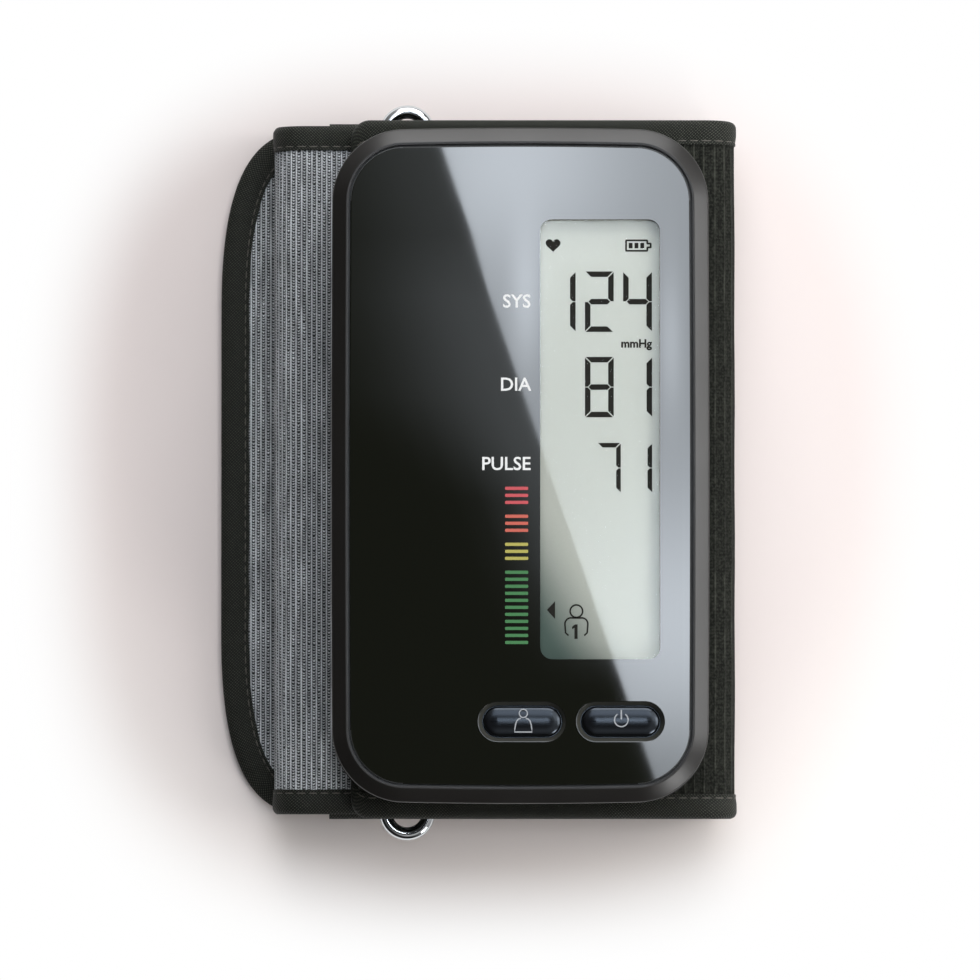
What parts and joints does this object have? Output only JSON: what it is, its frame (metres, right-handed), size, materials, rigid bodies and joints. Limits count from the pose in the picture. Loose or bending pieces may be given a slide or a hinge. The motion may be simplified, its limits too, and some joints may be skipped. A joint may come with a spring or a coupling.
{
  "type": "upper arm blood pressure monitor",
  "caption": "Slim upper arm blood pressure monitor with a gloss display face and push buttons, fixed to a ribbed cuff folded through its metal ring.",
  "frame": {"origin": "middle of the surface that the folded cuff lies on, under the middle of the whole object", "axes": "+Z comes out of the display, +Y is the top of the display, +X is to its right"},
  "size_m": [0.1084, 0.1542, 0.0417],
  "materials": {
    "housing_plastic": "satin",
    "face_gloss": "polished",
    "clear_pane": "polished",
    "display": "satin",
    "white_plastic": "matte",
    "board": "satin",
    "black_parts": "matte",
    "steel": "satin",
    "ring_chrome": "polished",
    "cell_wrap": "satin",
    "silicone": "matte",
    "film": "matte",
    "cloth_black": "matte",
    "cloth_grey": "matte",
    "binding_black": "matte",
    "hook": "matte",
    "webbing": "matte"
  },
  "bodies": {
    "root": {"front_housing": "housing_plastic", "rear_cover": "housing_plastic", "face_panel": "face_gloss", "display_pane": "clear_pane", "lcd_glass": "display", "lcd_reflector": "white_plastic", "display_holder": "black_parts", "contact_strips": "silicone", "main_board": "board", "board_chips": "black_parts", "pressure_sensor": "white_plastic", "tact_switches": "black_parts", "charging_socket": "steel", "housing_screws": "steel", "battery_cell": "cell_wrap", "pump_motor": "steel", "pump_head": "black_parts", "release_valve": "black_parts", "air_manifold": "black_parts", "air_hoses": "silicone", "port_seal": "silicone", "air_port": "film", "mounting_plate": "black_parts", "metal_ring": "ring_chrome", "ring_webbing": "webbing", "bladder": "film", "pocket_cloth": "cloth_black", "pocket_lining": "cloth_grey", "pocket_binding": "binding_black", "tongue_root_cloth": "cloth_black", "tongue_root_lining": "cloth_grey", "tongue_root_binding": "binding_black", "tongue_left_fold": "cloth_grey"},
    "button_user": {"button_user": "face_gloss"},
    "button_power": {"button_power": "face_gloss"},
    "tongue_middle": {"tongue_middle_cloth": "cloth_black", "tongue_middle_lining": "cloth_grey", "tongue_middle_binding": "binding_black", "tongue_right_fold": "cloth_grey", "hook_patch_middle": "hook"},
    "tongue_end": {"tongue_end_cloth": "cloth_black", "tongue_end_lining": "cloth_grey", "tongue_end_binding": "binding_black", "hook_patch_end": "hook"}
  },
  "joints": [
    {"name": "button_user_press", "type": "slide", "parent": "root", "child": "button_user", "axis": [0, 0, -1], "range_m": [0, 0.0006], "stiffness_N_per_m": 2500},
    {"name": "button_power_press", "type": "slide", "parent": "root", "child": "button_power", "axis": [0, 0, -1], "range_m": [0, 0.0006], "stiffness_N_per_m": 2500},
    {"name": "tongue_peel", "type": "hinge", "parent": "root", "child": "tongue_middle", "pos_m": [-0.04315, 0, 0.00965], "axis": [0, 1, 0], "range_deg": [0, 180], "deforming": ["tongue_left_fold"]},
    {"name": "tongue_end_unfold", "type": "hinge", "parent": "tongue_middle", "child": "tongue_end", "pos_m": [0.05095, 0, 0.00275], "axis": [0, -1, 0], "range_deg": [0, 180], "deforming": ["tongue_right_fold"]}
  ]
}
